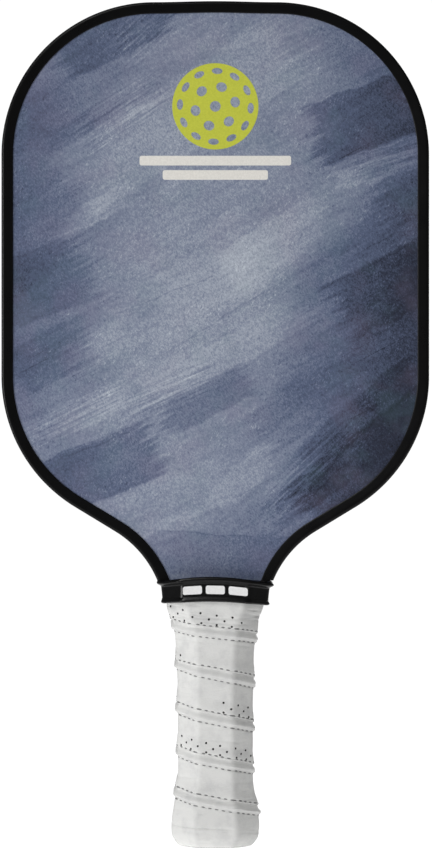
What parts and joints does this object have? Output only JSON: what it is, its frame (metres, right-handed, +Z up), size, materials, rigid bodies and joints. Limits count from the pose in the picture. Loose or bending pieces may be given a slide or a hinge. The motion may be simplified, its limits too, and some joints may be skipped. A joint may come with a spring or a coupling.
{
  "type": "pickleball paddle",
  "caption": "Flat round-cornered pickleball paddle with a honeycomb-cored head, a black edge guard, a wrapped octagonal handle with a flared butt cap, and an elastic rubber collar at the neck.",
  "frame": {"origin": "centre of the butt end, where the paddle stands", "axes": "+Z up the handle to the top of the head, +X to the right seen from the front, front face towards -Y"},
  "size_m": [0.2032, 0.037, 0.401],
  "materials": {
    "honeycomb": "satin",
    "adhesive": "satin",
    "face_sheet": "satin",
    "edge_guard": "satin",
    "pallet": "matte",
    "butt_cap": "satin",
    "badge": "satin",
    "staple": "satin",
    "grip": "matte",
    "finishing_tape": "satin",
    "collar": "satin"
  },
  "bodies": {
    "paddle": {"honeycomb_core": "honeycomb", "front_adhesive_film": "adhesive", "rear_adhesive_film": "adhesive", "front_face_sheet": "face_sheet", "rear_face_sheet": "face_sheet", "edge_guard": "edge_guard", "edge_guard_adhesive": "adhesive", "front_handle_pallet": "pallet", "rear_handle_pallet": "pallet", "butt_cap": "butt_cap", "butt_cap_badge": "badge", "butt_cap_staple_1": "staple", "butt_cap_staple_2": "staple", "butt_cap_staple_3": "staple", "butt_cap_staple_4": "staple", "cushion_grip": "grip", "finishing_tape": "finishing_tape"},
    "collar": {"rubber_collar": "collar"}
  },
  "joints": [
    {"name": "collar_slide", "type": "slide", "parent": "paddle", "child": "collar", "axis": [0, 0, -1], "range_m": [0, 0.028]}
  ]
}
